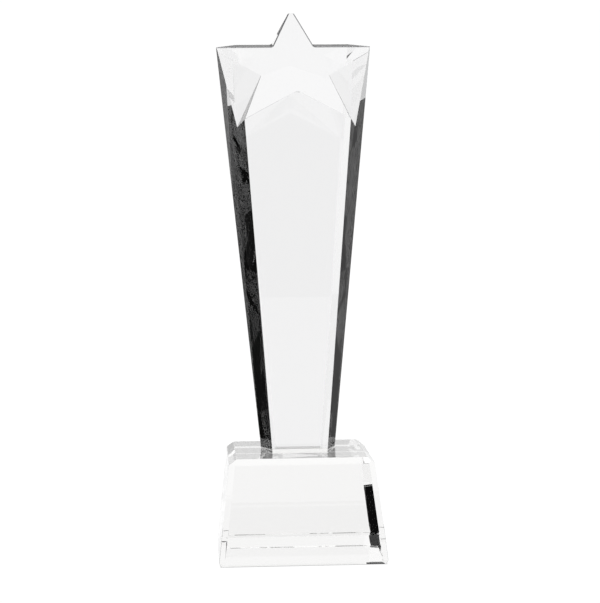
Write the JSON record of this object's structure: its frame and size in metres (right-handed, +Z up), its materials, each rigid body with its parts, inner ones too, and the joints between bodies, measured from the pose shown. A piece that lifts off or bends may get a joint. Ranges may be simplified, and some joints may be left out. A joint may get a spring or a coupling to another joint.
{
  "type": "star trophy",
  "caption": "Award trophy: a clear crystal column that widens upwards to a leaning five-pointed star face, bonded to a clear block base with a sloping front.",
  "frame": {"origin": "centre of the base's underside", "axes": "+Z up; -Y is the front, which the star's face leans back from; +X to the right of a viewer at the front"},
  "size_m": [0.07, 0.063, 0.2304],
  "materials": {
    "column_crystal": "polished clear optical crystal",
    "base_crystal": "polished clear optical crystal",
    "clear_adhesive": "clear cured adhesive"
  },
  "bodies": {
    "root": {"star_column": "column_crystal", "base_block": "base_crystal", "adhesive_film": "clear_adhesive"}
  },
  "joints": []
}
